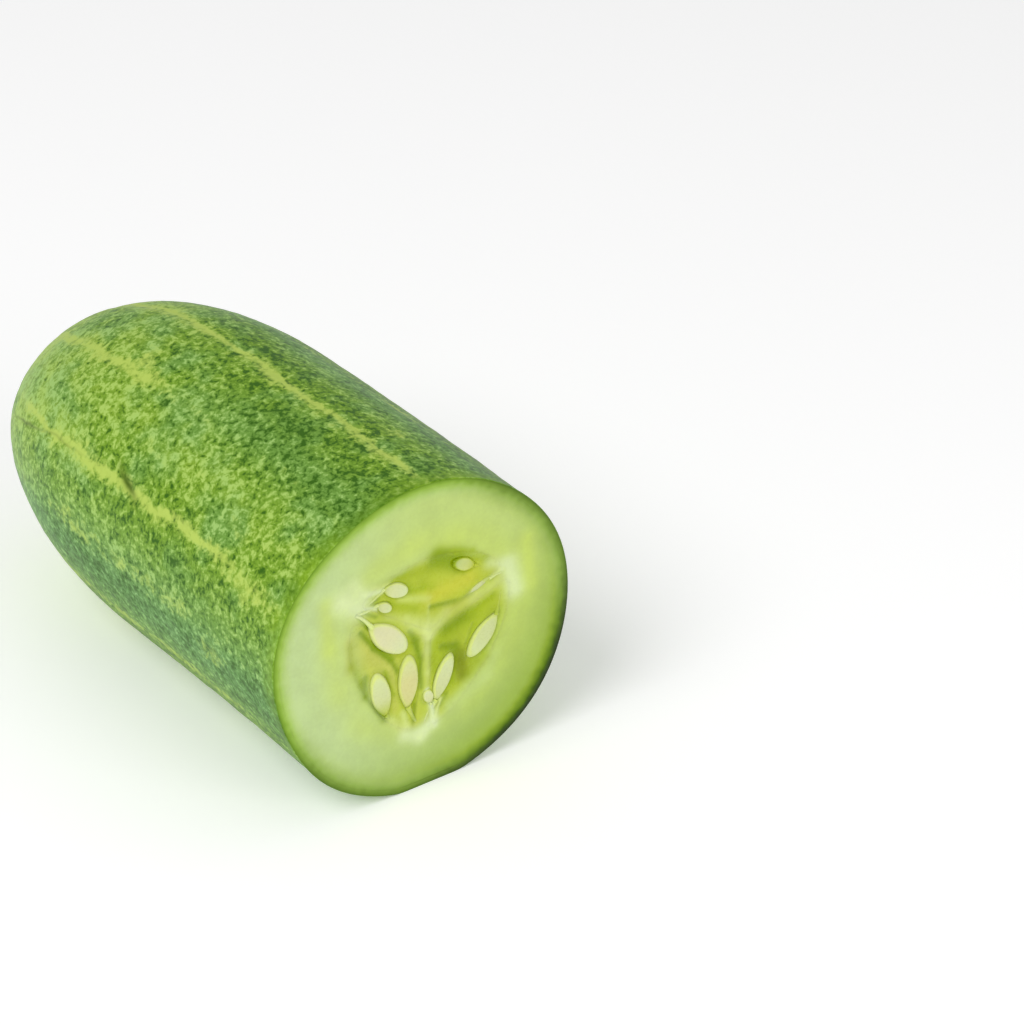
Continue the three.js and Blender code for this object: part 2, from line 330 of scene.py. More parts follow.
STREAKS = [
    (STREAK, 0.3, 1.7, 0.6, 0.2, 1.0, 1.0),
    (STREAK, -1.8, 3.4, 1.6, 2.2, 1.5, 0.45),
    (STREAK, 0.5, 0.2, 0.3, -2.6, 0.9, 0.45),
    (STREAK, 0.4, -2.0, 0.3, -6.6, 0.6, 0.4),
    (STREAK, 0.4, -6.6, 0.0, -10.4, 0.5, 0.35),
    (STREAK, 1.3, 0.9, 4.0, 3.3, 1.1, 0.5),
    (BEIGE, 4.4, 3.5, 9.6, 4.2, 1.1, 0.4),
    (STREAK, 9.2, 4.1, 13.6, 5.4, 1.1, 0.4),
    (STREAK, 0.8, 6.0, 0.6, 2.0, 0.35, 0.3),
    (STREAK, 0.2, 1.5, -3.4, 4.8, 1.0, 0.4),
    (STREAK, -3.4, 4.8, -6.8, 6.8, 0.8, 0.3),
    (STREAK, -4.4, 9.0, 0.8, 7.1, 0.7, 0.4),
    (STREAK, 9.0, 5.2, 14.6, 7.6, 0.35, 0.7),
    (WHITE, -11.6, 12.4, -7.6, 11.9, 0.55, 0.9),
    (WHITE, -12.0, 10.2, -8.8, 8.9, 0.4, 0.9),
    (STREAK, -9.6, 13.0, -6.8, 12.6, 0.5, 0.5),
    (STREAK, -4.4, -12.6, -3.8, -15.6, 0.7, 0.7),
    (STREAK, -6.6, -13.0, -4.6, -15.6, 1.0, 0.6),
    (WHITE, 0.3, -9.8, 1.0, -13.0, 0.4, 0.9),
    (WHITE, 1.0, -13.0, 1.4, -17.0, 0.6, 1.0),
    (STREAK, 2.8, -12.6, 1.6, -15.6, 0.4, 0.9),
]
PATCHES = [
    # The first four patches darken the deep pocket at the top of the top chamber: the gel's own green
    # and painted shade in the pocket
    (MOSS, 2.6, 14.6, 5.8, 13.0, 1.7, 1.0),
    (OLIVE, 2.6, 14.4, 6.4, 12.8, 1.5, 0.95),
    (MOSS, 5.4, 14.2, 9.0, 13.1, 0.8, 0.7),
    (MOSS, 9.0, 13.1, 11.8, 10.9, 0.5, 0.4),
    (BEIGE, -14.0, 4.6, -14.0, 0.0, 1.2, 0.5),
    (MOSS, -14.1, 4.0, -13.9, 0.0, 0.7, 0.35),
    (MOSS, -13.9, 0.0, -12.2, -4.0, 0.9, 0.45),
    (OLIVE, -12.0, -3.6, -11.5, -6.4, 0.8, 0.6),
    (OLIVE, -11.5, -6.4, -8.4, -12.2, 0.5, 0.45),
    (MOSS, 8.4, -9.6, 11.0, -7.4, 1.4, 0.6),
    (FLESH_WARM, 4.6, -14.6, 11.4, -11.4, 1.5, 0.9),
    (FLESH_WARM, 11.4, -11.4, 13.4, -8.0, 1.0, 0.6),
    (BARK, 6.9, -5.4, 7.4, -9.6, 1.1, 0.6),
    (FLESH_YELLOW, -18.2, 13.0, -18.0, 5.0, 1.7, 0.6),
    (FLESH_YELLOW, 19.4, 11.5, 20.0, 3.0, 1.6, 0.7),
    (WHITE, -15.2, 12.6, -12.4, 10.4, 2.1, 1.0),
    (WHITE, -13.2, 14.8, -11.6, 12.6, 1.4, 0.6),
    (WHITE, 16.0, 8.0, 17.2, 3.0, 1.8, 0.9),
    (WHITE, 12.6, 9.4, 15.4, 8.6, 1.2, 0.5),
    (WHITE, -4.4, -16.8, -1.4, -17.7, 1.3, 0.8),
    (WHITE, -1.4, -17.7, 1.0, -16.2, 1.4, 1.0),
]
# The strokes' places are read off the plane of the cut. The gel lies a little behind it.
STROKE_SHIFT = (0.25, -0.28)


def stroke(y, z, from_y, from_z, to_y, to_z, half):
    """How strongly a soft stroke covers a point."""
    y = y - STROKE_SHIFT[0]
    z = z - STROKE_SHIFT[1]
    run_y = to_y - from_y
    run_z = to_z - from_z
    length = max(run_y**2 + run_z**2, 1e-6)
    share = np.clip(((y - from_y) * run_y + (z - from_z) * run_z) / length, 0.0, 1.0)
    away = np.hypot(y - from_y - share * run_y, z - from_z - share * run_z)
    return np.exp(-((away / half) ** 2))


def covered(y, z, strokes):
    """How strongly any of the strokes covers a point."""
    total = np.zeros(np.shape(y))
    for _, *where, half, strength in strokes:
        total = np.maximum(total, strength * stroke(y, z, *where, half))
    return total


def ripple(y, z, size, seed):
    """Smooth noise over the cut face, about -1 to 1."""
    flat = [noise.noise(Vector((a / size, b / size, seed))) for a, b in zip(y.ravel(), z.ravel())]
    return np.array(flat).reshape(np.shape(y))


def face_height(y, z):
    """Height of the flesh and gel over the plane of the cut, which nothing passes."""
    core = core_depth(y, z)
    between = smooth(-0.2, 1.4, chamber_depth(y, z))
    height = -EDGE_DIP * smooth(-3.0, 0.0, core)
    height = height - (GEL_RECESS - EDGE_DIP) * smooth(-0.6, 2.4, core) * (0.75 + 0.25 * between)
    in_gel = smooth(-0.6, 1.2, core)
    height = height + STREAK_RISE * in_gel * covered(y, z, STREAKS)
    height = height - HOLLOW_SINK * in_gel * covered(y, z, SHADED_HOLLOWS)
    height = height - POCKET_DEPTH * smooth(0.45, -0.25, seed_distance(y, z))
    height = height + GEL_RIPPLE * in_gel * ripple(y, z, 2.2, 3.0)
    return height - FACE_SINK + FLESH_RIPPLE * ripple(y, z, 5.0, 7.0)


def blend(under, over, amount):
    amount = np.clip(amount, 0.0, 1.0)[..., None]
    return under * (1.0 - amount) + over * amount


# The painted shade on the cut face is darkest at this bearing. The flesh is yellower in a ring round
# the core.
DARKEST_BEARING = 318.0
RING_RADIUS = 17.0
RING_HALF = 3.4
# Colours from the edge inwards, by depth in millimetres, on the lit side and on the side with painted
# shade
RIND_PALE_SIDE = [
    (0.0, srgb(86, 120, 10)),
    (0.35, srgb(122, 160, 40)),
    (0.8, srgb(144, 180, 62)),
    (1.4, srgb(165, 197, 92)),
    (2.4, srgb(178, 203, 120)),
]
# The thin dark line at the edge is the rind's own; the far darker tones here are painted shade
RIND_SHADED_SIDE = [
    (0.0, srgb(22, 30, 0)),
    (0.35, srgb(28, 46, 0)),
    (0.9, srgb(54, 80, 0)),
    (1.6, srgb(98, 130, 0)),
    (2.8, srgb(138, 166, 36)),
    (4.0, srgb(158, 184, 80)),
]


def tone_at(value, stops):
    """The colour at a value on a scale of colours."""
    marks = [stop for stop, _ in stops]
    return np.stack([np.interp(value, marks, [c[k] for _, c in stops]) for k in range(3)], axis=-1)


def painted(tone, y, z, strokes):
    """A tone with strokes laid over it, one after another."""
    for colour, *where, half, strength in strokes:
        tone = blend(tone, colour, strength * stroke(y, z, *where, half))
    return tone


def gel_tone(y, z):
    tone = np.broadcast_to(GEL_OLIVE, np.shape(y) + (3,))
    tone = painted(tone, y, z, WASHES)
    # Painted shade in the hollows, over the gel's own deeper olive
    tone = painted(tone, y, z, SHADED_HOLLOWS)
    # Painted shadow: a thin olive line round each seed, where the gel dips to it
    rim = np.exp(-(((seed_distance(y, z) - 0.3) / 0.45) ** 2))
    return blend(tone, OLIVE, 0.25 * rim * (0.8 + 1.4 * ripple(y, z, 3.0, 5.0)))


def face_tone(y, z):
    """Colour of the cut face at a point, from the dark line of the skin to the gel."""
    angle = np.arctan2(z, y)
    depth = np.minimum(CUT_RADIUS * swell(angle) - np.hypot(y, z), z - REST_LEVEL)
    ragged = depth + 0.3 * ripple(y, z, 1.3, 11.0) * smooth(0.1, 0.8, depth)
    out = np.hypot(y - CORE_Y, z - CORE_Z)
    tone = np.broadcast_to(FLESH_PALE, np.shape(y) + (3,))
    # Warmer to the upper right, clouded in the ring and with painted shade to the lower right
    tone = blend(tone, FLESH_WARM, smooth(-12.0, 18.0, y + 0.6 * z))
    cloud = 0.5 + 0.5 * ripple(y, z, 6.0, 17.0)
    ring = np.exp(-(((out - RING_RADIUS) / RING_HALF) ** 2))
    tone = blend(tone, FLESH_YELLOW, 0.55 * ring * (0.5 + cloud))
    shaded = smooth(-4.0, 24.0, 0.65 * y - 0.72 * z)
    tone = blend(tone, FLESH_SHADE, shaded * (0.25 + 0.65 * smooth(14.0, 26.0, out)))
    # Painted shade at the rind, strongest at the darkest bearing
    facing = np.cos(angle - math.radians(DARKEST_BEARING))
    dark = 0.45 * smooth(-0.6, -0.1, facing) + 0.55 * smooth(0.55, 1.0, facing)
    pale_side = blend(tone, tone_at(ragged, RIND_PALE_SIDE), smooth(3.8, 1.2, ragged))
    shaded_side = blend(tone, tone_at(ragged, RIND_SHADED_SIDE), smooth(5.6, 1.8, ragged))
    tone = blend(pale_side, shaded_side, dark)
    # The gel's edge is softer at the left and at the lower right
    core = core_depth(y, z)
    soft = 1.0 + 1.6 * smooth(-4.0, -12.0, y) + 1.2 * smooth(4.0, -4.0, z) * smooth(4.0, 9.0, y)
    gel = smooth(-0.9 * soft, 1.5 * soft, core + 0.5 * ripple(y, z, 3.0, 23.0))
    tone = blend(tone, gel_tone(y, z), gel)
    wall = smooth(0.5, -0.4, chamber_depth(y, z))
    tone = blend(tone, STREAK, 0.12 * wall * smooth(0.0, 2.0, core))
    tone = painted(tone, y, z, STREAKS)
    return painted(tone, y, z, PATCHES)


# Meshes

EDGE_ANGLE = math.radians(50.0)


def in_scene(name, data):
    """A new object with this data, in the scene."""
    thing = bpy.data.objects.new(name, data)
    bpy.context.scene.collection.objects.link(thing)
    return thing


def make_object(name, points, faces):
    """An object from points in millimetres, facing out and shaded smooth but at its edges."""
    mesh = bpy.data.meshes.new(name)
    mesh.from_pydata((np.asarray(points) * MM).tolist(), [], [list(face) for face in faces])
    mesh.update()
    piece = in_scene(name, mesh)
    mesh.shade_smooth()
    mesh.set_sharp_from_angle(angle=EDGE_ANGLE)
    return piece


def row_faces(sizes):
    """Faces of a surface made of rows of points, one after another. A row of one is a pole."""
    faces = []
    start = 0
    for here, there in zip(sizes, sizes[1:]):
        after = start + here
        for i in range(max(here, there)):
            j = (i + 1) % max(here, there)
            if here == 1:
                faces.append((start, after + j, after + i))
            elif there == 1:
                faces.append((start + i, start + j, after))
            else:
                faces.append((start + i, start + j, after + j, after + i))
        start = after
    return faces


def rows_object(name, rows):
    points = np.concatenate(rows)
    faces = row_faces([len(row) for row in rows])
    corners = [(face[0], face[k], face[k + 1]) for face in faces for k in range(1, len(face) - 1)]
    a, b, c = (points[np.array(corners)[:, k]] for k in range(3))
    if np.einsum("ij,ij->i", a, np.cross(b, c)).sum() < 0.0:
        faces = [face[::-1] for face in faces]
    return make_object(name, points, faces)


def set_tone(piece, tones):
    """Keeps a colour for each point, which the material reads."""
    layer = piece.data.color_attributes.new("tone", "FLOAT_COLOR", "POINT")
    rgba = np.concatenate([tones, np.ones((len(tones), 1))], axis=1)
    layer.data.foreach_set("color", rgba.ravel().astype(np.float32))


def set_number(piece, name, values):
    layer = piece.data.attributes.new(name, "FLOAT", "POINT")
    layer.data.foreach_set("value", np.asarray(values, np.float32))


def face_coordinates(piece):
    """The points of an object, in millimetres about the axis at the cut."""
    points = np.zeros(len(piece.data.vertices) * 3)
    piece.data.vertices.foreach_get("co", points)
    points = points.reshape(-1, 3) / MM
    return points[:, 0] - CUT_X, points[:, 1] - AXIS_Y, points[:, 2] - AXIS_Z


# Skin

AROUND = 384
RIM_ROUNDING = 0.12
RELIEF_START = 2.5
FURROW = 0.10
FURROW_SPREAD = 1.3
LUMP = 0.12
LUMP_SIZES = (7.0, 3.0)
PIT = 0.035
PIT_SIZE = 1.3
CRACK_SINK = 0.15
CRACK_SPREAD = 1.5
# Over how far along the fruit the ends of stripes and bands fade, in millimetres each way
STRIPE_EASE = 8.0
BAND_EASE = 12.0
STRIPES = [
    # degrees round the axis, half width in degrees, strength, from and to along the fruit
    (57.0, 1.6, 0.45, 15.0, 90.0),
    (88.0, 1.5, 0.95, 2.0, 98.0),
    (88.5, 3.0, 0.68, 2.0, 90.0),
    (118.0, 2.6, 0.85, 52.0, 97.0),
    (117.0, 1.6, 0.30, 10.0, 52.0),
    (137.0, 3.5, 0.38, 4.0, 52.0),
    (150.5, 1.7, 0.95, 14.0, 88.0),
    (151.0, 3.0, 0.68, 2.0, 80.0),
    (151.0, 1.5, 0.45, 80.0, 103.0),
    (176.0, 3.5, 0.40, 8.0, 70.0),
    (207.0, 2.2, 0.60, 10.0, 95.0),
    (238.0, 2.0, 0.80, 25.0, 92.0),
    (269.0, 2.4, 0.65, 5.0, 80.0),
    (299.0, 1.8, 0.85, 30.0, 97.0),
    (331.0, 2.6, 0.60, 12.0, 85.0),
    (0.0, 1.9, 0.90, 22.0, 95.0),
    (29.0, 2.3, 0.60, 8.0, 75.0),
]
# The skin's own teal bands, and at 62 and 188 degrees a painted sheen: the bluish reflection along the
# upper and lower outlines
TEAL_AND_SHEEN_BANDS = [
    # degrees, half width in degrees, from and to along the fruit, strength
    (188.0, 14.0, -20.0, 120.0, 0.9),
    (112.0, 7.0, -20.0, 45.0, 0.45),
    (62.0, 8.0, -20.0, 120.0, 0.7),
    (170.0, 6.0, -20.0, 120.0, 0.3),
    (240.0, 14.0, -20.0, 60.0, 0.6),
    (320.0, 16.0, 20.0, 120.0, 0.6),
]
BLOTCHES = [
    # degrees, place along, half sizes round and along in millimetres, strength
    (113.0, 63.0, 3.0, 3.0, 0.7),
    (120.0, 74.0, 2.2, 3.5, 0.4),
    (184.0, 19.0, 2.6, 5.0, 0.55),
    (173.0, 62.0, 2.4, 3.2, 0.5),
    (76.0, 17.0, 1.8, 3.0, 0.5),
    (92.0, 40.0, 2.0, 4.0, 0.35),
    (154.0, 11.0, 1.6, 2.6, 0.6),
    (20.0, 55.0, 3.0, 5.0, 0.5),
    (250.0, 60.0, 3.0, 4.0, 0.5),
    (310.0, 35.0, 2.6, 4.5, 0.5),
]
BANDS = [
    # degrees, half width in degrees, from and to along the fruit, lighter or darker
    (97.0, 8.0, -20.0, 32.0, -0.4),
    (97.0, 8.0, 32.0, 62.0, -0.2),
    (107.0, 5.0, 22.0, 36.0, -0.12),
    (70.0, 7.0, -20.0, 70.0, -0.05),
    (81.0, 3.0, -20.0, 75.0, -0.35),
    (138.0, 9.0, 60.0, 120.0, 0.2),
    (127.0, 6.0, 14.0, 120.0, 0.2),
    (134.0, 3.0, -20.0, 50.0, 0.12),
    (145.0, 3.0, -20.0, 58.0, -0.12),
    (116.0, 3.0, -20.0, 26.0, -0.4),
    (152.0, 3.0, -20.0, 12.0, 0.2),
    (159.0, 3.5, 12.0, 58.0, -0.24),
    (171.0, 5.0, -20.0, 90.0, 0.1),
    # The next two bands darken the lower left side: painted shade
    (186.0, 7.0, -20.0, 80.0, -0.25),
    (198.0, 6.0, -20.0, 80.0, -0.1),
    (222.0, 9.0, -20.0, 70.0, -0.45),
    (253.0, 10.0, 5.0, 110.0, 0.4),
    (284.0, 9.0, -20.0, 75.0, -0.4),
    (314.0, 9.0, 10.0, 120.0, 0.45),
    (345.0, 9.0, -20.0, 80.0, -0.45),
    (14.0, 8.0, 5.0, 110.0, 0.35),
    (44.0, 8.0, -20.0, 80.0, -0.4),
]
CRACKS = [
    # degrees, place along, half length and half width in millimetres, slant and strength
    (149.4, 47.0, 3.6, 0.7, -0.44, 1.0),
    (155.6, 80.0, 7.0, 0.35, 0.2, 0.7),
    (151.5, 67.0, 6.0, 0.3, 0.06, 0.3),
    (262.0, 52.0, 5.0, 0.35, -0.3, 0.6),
    (20.0, 70.0, 6.0, 0.35, 0.2, 0.6),
]


def skin_rows():
    angle = np.linspace(0.0, TURN, AROUND, endpoint=False)
    cap_start = LENGTH - CAP_LENGTH
    to_tip = np.sin(np.linspace(0.0, 0.5 * math.pi, 110)[1:-1])
    along = np.concatenate([
        [0.03, RIM_ROUNDING, 0.3],
        np.linspace(0.7, cap_start, 112),
        cap_start + CAP_LENGTH * to_tip,
    ])
    s = along[:, None]
    radius = radius_at(s, 0.0)
    rounding = RIM_ROUNDING * np.clip(1.0 - s / RIM_ROUNDING, 0.0, 1.0) ** 2
    x, y, z = local_points(s, radius - rounding, angle[None, :])
    dip = SCAR_DEPTH * np.clip(1.0 - (radius / SCAR_RADIUS) ** 2, 0.0, 1.0)
    outside = laid(x + dip, y, z, 0.0)

    d_around = np.roll(outside, -1, axis=1) - np.roll(outside, 1, axis=1)
    d_along = np.gradient(outside, axis=0)
    normal = np.cross(d_along, d_around)
    normal /= np.linalg.norm(normal, axis=-1, keepdims=True)
    if (normal[20] * (outside[20] - outside[20].mean(axis=0))).sum() < 0.0:
        normal = -normal
    flat = outside.reshape(-1, 3)

    def grain(size):
        return np.array([noise.noise(Vector(point / size)) for point in flat])

    lumps = grain(LUMP_SIZES[0]) + 0.5 * grain(LUMP_SIZES[1])
    relief = LUMP * (lumps - 1.0) * 0.7 + PIT * (grain(PIT_SIZE) - 1.0)
    relief = relief.reshape(radius.shape[0], AROUND)
    for degrees, half, strength, start, end in STRIPES:
        turn = np.degrees(np.arccos(np.cos(angle - math.radians(degrees))))[None, :]
        there = smooth(start - STRIPE_EASE, start + STRIPE_EASE, s)
        there = there * smooth(end + STRIPE_EASE, end - STRIPE_EASE, s)
        furrow = np.exp(-((turn / (FURROW_SPREAD * half)) ** 2))
        relief = relief - FURROW * strength * there * furrow
    for degrees, place, half_length, half_width, slant, strength in CRACKS:
        across = SHOULDER_RADIUS * np.sin(angle - math.radians(degrees))[None, :]
        run = (s - place) * math.cos(slant) + across * math.sin(slant)
        off = across * math.cos(slant) - (s - place) * math.sin(slant)
        crack = np.exp(-((run / half_length) ** 2) - (off / (CRACK_SPREAD * half_width)) ** 2)
        there = np.cos(angle - math.radians(degrees))[None, :] > 0.0
        relief = relief - CRACK_SINK * strength * crack * there
    relief = relief * smooth(0.0, RELIEF_START, s)
    outside = outside + normal * relief[..., None]
    outside[..., 2] = np.maximum(outside[..., 2], 0.0)

    rim = []
    for inset in np.linspace(SKIN, RIM_ROUNDING, 6):
        x, y, z = local_points(0.0, CUT_RADIUS - inset, angle)
        rim.append(laid(x, y, z, inset))
    inner = []
    for share in np.linspace(0.0, 1.0, 40)[1:]:
        back = cap_start + (CAP_LENGTH - SKIN) * math.cos(0.5 * math.pi * share)
        back = back * (1.0 - smooth(0.75, 1.0, share))
        x, y, z = local_points(back, radius_at(back, SKIN), angle)
        inner.append(laid(x, y, z, SKIN))
    tip_in = laid(*local_points(LENGTH - SKIN, 0.0, 0.0), SKIN)[None, :]
    tip_in[0, 0] += SCAR_DEPTH
    tip_out = laid(*local_points(LENGTH, 0.0, 0.0), 0.0)[None, :]
    tip_out[0, 0] += SCAR_DEPTH
    rows = [tip_in] + inner[:-1] + rim + list(outside) + [tip_out]
    on_rim = [0.0] * len(inner) + [1.0] * len(rim) + [0.0] * (len(outside) + 1)
    return rows, on_rim


def make_skin():
    rows, on_rim = skin_rows()
    piece = rows_object("cucumber_skin", rows)
    x, y, z = face_coordinates(piece)
    set_tone(piece, face_tone(y, z))
    set_number(piece, "rim", np.concatenate([[flag] * len(row) for flag, row in zip(on_rim, rows)]))
    return piece


# Flesh and gel

FLESH_AROUND = 400
FLESH_RINGS = 120
OUTLINE_STEPS = 72
GEL_RINGS = 56


def make_flesh_body():
    angle = np.linspace(0.0, TURN, FLESH_AROUND, endpoint=False)
    rows = [np.array([[CUT_X + face_height(np.zeros(1), np.zeros(1))[0], AXIS_Y, AXIS_Z]])]
    for share in np.linspace(0.0, 1.0, FLESH_RINGS + 1)[1:]:
        x, y, z = local_points(0.0, share * (CUT_RADIUS - SKIN), angle)
        at_edge = smooth(0.985, 1.0, share)
        height = face_height(y, z) * (1.0 - at_edge)
        rows.append(laid(x + height, y, z, SKIN))
    cap_start = LENGTH - CAP_LENGTH
    to_tip = np.sin(np.linspace(0.0, 0.5 * math.pi, 24)[1:-1])
    walls = np.concatenate([np.linspace(4.0, cap_start, 10), cap_start + (CAP_LENGTH - SKIN) * to_tip])
    for s in walls:
        x, y, z = local_points(s, radius_at(s, SKIN), angle)
        rows.append(laid(x, y, z, SKIN))
    rows.append(laid(*local_points(LENGTH - SKIN, 0.0, 0.0), SKIN)[None, :])
    return rows_object("cucumber_flesh", rows)


def chamber_outline(index):
    """Outline of a chamber in y and z about the axis, with small round corners."""
    _, start, start_reach = PLACENTAS[index]
    _, end, end_reach = PLACENTAS[(index + 1) % len(PLACENTAS)]
    sweep = (end - start) % 360.0
    middle = math.radians(start + sweep / 2.0)
    apex = 0.5 * WALL_AT_MIDDLE / math.sin(math.radians(sweep / 2.0))
    first = math.radians(start) + 0.5 * WALL_AT_CORNER / start_reach
    last = math.radians(start + sweep) - 0.5 * WALL_AT_CORNER / end_reach
    arc = np.linspace(first, last, OUTLINE_STEPS)
    radius = core_radius(arc)
    curve = np.stack([radius * np.cos(arc), radius * np.sin(arc)], axis=-1)
    tip = apex * np.array([math.cos(middle), math.sin(middle)])
    share = np.linspace(0.0, 1.0, OUTLINE_STEPS // 2)[1:-1, None]
    sides = [tip + share * (curve[0] - tip), curve, curve[-1] + share * (tip - curve[-1])]
    outline = np.concatenate([tip[None, :]] + sides)
    for _ in range(6):
        before = np.roll(outline, 1, axis=0)
        after = np.roll(outline, -1, axis=0)
        outline = 0.25 * before + 0.5 * outline + 0.25 * after
    return outline + (CORE_Y, CORE_Z)


def chamber_ring(outline, s):
    """A chamber's outline at s behind the cut, narrowed and bent with the fruit."""
    along = max(0.0, s) / LENGTH
    scale = 1.0 + (CORE_TIP_SCALE - 1.0) * (max(0.0, s) / CORE_DEPTH) ** 3
    y = CORE_Y + (outline[:, 0] - CORE_Y) * scale - BEND * along**2
    z = CORE_Z + (outline[:, 1] - CORE_Z) * scale - SAG * along**2
    return laid(np.full(len(outline), -s), y, z, 0.0)


def make_room(index):
    """The space that one chamber takes out of the flesh."""
    outline = chamber_outline(index)
    rows = [chamber_ring(outline, s) for s in np.linspace(-1.0, CORE_DEPTH, 14)]
    front = rows[0].mean(axis=0)[None, :]
    back = rows[-1].mean(axis=0)[None, :]
    return rows_object("room", [front] + rows + [back])


def dress_face(piece):
    """Gives each point its colour and how dry it is, by its place on the cut face."""
    _, y, z = face_coordinates(piece)
    set_tone(piece, face_tone(y, z))
    set_number(piece, "dry", smooth(1.0, -4.0, chamber_depth(y, z)))


def make_flesh():
    piece = make_flesh_body()
    bpy.context.view_layer.objects.active = piece
    for index in range(len(CHAMBERS)):
        room = make_room(index)
        cut = piece.modifiers.new("cut", "BOOLEAN")
        cut.operation = "DIFFERENCE"
        cut.solver = "MANIFOLD"
        cut.object = room
        bpy.ops.object.modifier_apply(modifier=cut.name)
        bpy.data.objects.remove(room)
    piece.data.shade_smooth()
    piece.data.set_sharp_from_angle(angle=EDGE_ANGLE)
    dress_face(piece)
    return piece


def make_gel(index):
    outline = chamber_outline(index)
    middle = outline.mean(axis=0)
    rows = []
    for share in np.linspace(0.0, 1.0, GEL_RINGS + 1):
        ring = middle + share * (outline - middle) if share > 0.0 else middle[None, :]
        y, z = ring[:, 0], ring[:, 1]
        rows.append(laid(face_height(y, z), y, z, 0.0))
    for s in np.linspace(3.0, CORE_DEPTH, 12):
        rows.append(chamber_ring(outline, s))
    rows.append(rows[-1].mean(axis=0)[None, :])
    piece = rows_object("cucumber_" + CHAMBERS[index], rows)
    dress_face(piece)
    return piece


# Seeds, stalks and placentas

SEED_STEPS = 48
SEED_RINGS = 16
# The raised rim of a seed: where, half width and height, as shares of half its size
SEED_LIP = (0.84, 0.09, 0.16)
STALK_STEPS = 12
STALK_SIDES = 10
STALK_DEPTH = 0.5
STALK_RADIUS = 0.2
STALK_NECK = 0.035
STALK_FOOT = 0.14
PLACENTA_STEPS = 12
PLACENTA_SIDES = 32
PLACENTA_BEYOND = 0.7
PLACENTA_HALF_OUT = 1.8
PLACENTA_HALF_ACROSS = 1.3
PLACENTA_DEPTH = 1.8
PLACENTA_ABOVE = 1.2
PLACENTA_BELOW = 2.2
# Seeds and stalks stay this far behind the plane of the cut
BEHIND_CUT = 0.06


def seed_sheet(share, turn):
    """Place on a seed of unit size: along, across and how thick it is there."""
    along = share * math.cos(turn)
    narrow = 1.0 - SEED_POINT * max(0.0, along) ** 2
    across = share * math.sin(turn) * narrow
    lip, half, height = SEED_LIP
    rim = height * math.exp(-(((share - lip) / half) ** 2))
    thick = (1.0 - share**5) ** 0.5 * (0.86 + rim) * (0.75 + 0.25 * narrow)
    return along, across, thick


def seed_rows(middle, angle, length, width, veil, fade, cream, order):
    """A flat pip with a raised rim. Returns its rows of points and a tone for each point."""
    thickness = min(SEED_THICKNESS, 0.65 * width)
    cos, sin = math.cos(angle), math.sin(angle)
    roll = 0.08 * math.sin(2.1 * order + 0.5)
    fill = tone_at(cream, SEED_COLOURS)
    rows, tones = [], []
    shares = [k / SEED_RINGS for k in range(SEED_RINGS + 1)]
    sheets = [(share, 1.0) for share in shares] + [(share, -1.0) for share in shares[-2::-1]]
    for share, side in sheets:
        steps = SEED_STEPS if share > 0.0 else 1
        row, tone, cover = [], [], []
        for k in range(steps):
            along, across, thick = seed_sheet(share, TURN * k / SEED_STEPS)
            a = 0.5 * length * along
            b = 0.5 * width * across
            out = 0.5 * thickness * thick * side + roll * b
            y = middle[0] + a * cos - b * sin
            z = middle[1] + a * sin + b * cos
            row.append((min(out - SEED_DEPTH, -BEHIND_CUT), y, z))
            # The seed's own pale rim all round, with a painted highlight brightest on its upper left
            # side
            pale_rim_and_highlight = math.exp(-(((share - 0.86) / 0.11) ** 2))
            pale_rim_and_highlight = pale_rim_and_highlight * (0.6 + 0.35 * math.cos(TURN * k / SEED_STEPS + angle - 2.2))
            blunt = 0.6 * smooth(0.1, -0.9, along)
            colour_and_highlight = fill * (1.0 - blunt) + SEED_WHITE * blunt
            colour_and_highlight = colour_and_highlight * (1.0 - pale_rim_and_highlight) + SEED_PALE_RIM_AND_HIGHLIGHT * pale_rim_and_highlight
            # Painted shade on each seed's underside and outermost edge
            tone.append(SEED_SHADE if side < 0.0 or share > 0.98 else colour_and_highlight)
            soft = (0.2 + veil) * smooth(0.65, 1.0, share)
            cover.append(veil + fade * smooth(0.0, 0.9, along) + soft)
        row = np.array(row)
        rows.append(row)
        tones.append(blend(np.array(tone), gel_tone(row[:, 1], row[:, 2]), np.array(cover)))
    return rows, tones


def stalk_rows(root, middle, angle, length, hidden, order):
    """A thread from a seed's tip to its placenta. Gel covers it as far as it is hidden."""
    tip = middle + 0.44 * length * np.array([math.cos(angle), math.sin(angle)])
    reach = root - tip
    across = np.array([-reach[1], reach[0]]) * 0.05 * math.sin(1.7 * order)
    rows, tones = [], []
    for i in range(STALK_STEPS + 1):
        share = i / STALK_STEPS
        place = tip + share * reach + math.sin(math.pi * share) * across
        run = reach / max(np.hypot(*reach), 1e-6)
        side = np.array([-run[1], run[0]])
        neck = STALK_NECK * length * (1.0 - share) ** 3
        radius = STALK_RADIUS + neck + STALK_FOOT * share
        row = []
        for k in range(STALK_SIDES):
            turn = TURN * k / STALK_SIDES
            y, z = place + side * radius * math.cos(turn)
            height = radius * math.sin(turn) - STALK_DEPTH - 0.3 * hidden
            row.append((min(height, -BEHIND_CUT), y, z))
        row = np.array(row)
        rows.append(row)
        pale = np.tile(blend(STREAK, WHITE, np.array(0.7 * share)), (len(row), 1))
        tones.append(blend(pale, face_tone(row[:, 1], row[:, 2]), np.full(len(row), hidden)))
    rows.insert(0, rows[0].mean(axis=0)[None, :])
    rows.append(rows[-1].mean(axis=0)[None, :])
    tones.insert(0, tones[0][:1])
    tones.append(tones[-1][:1])
    return rows, tones


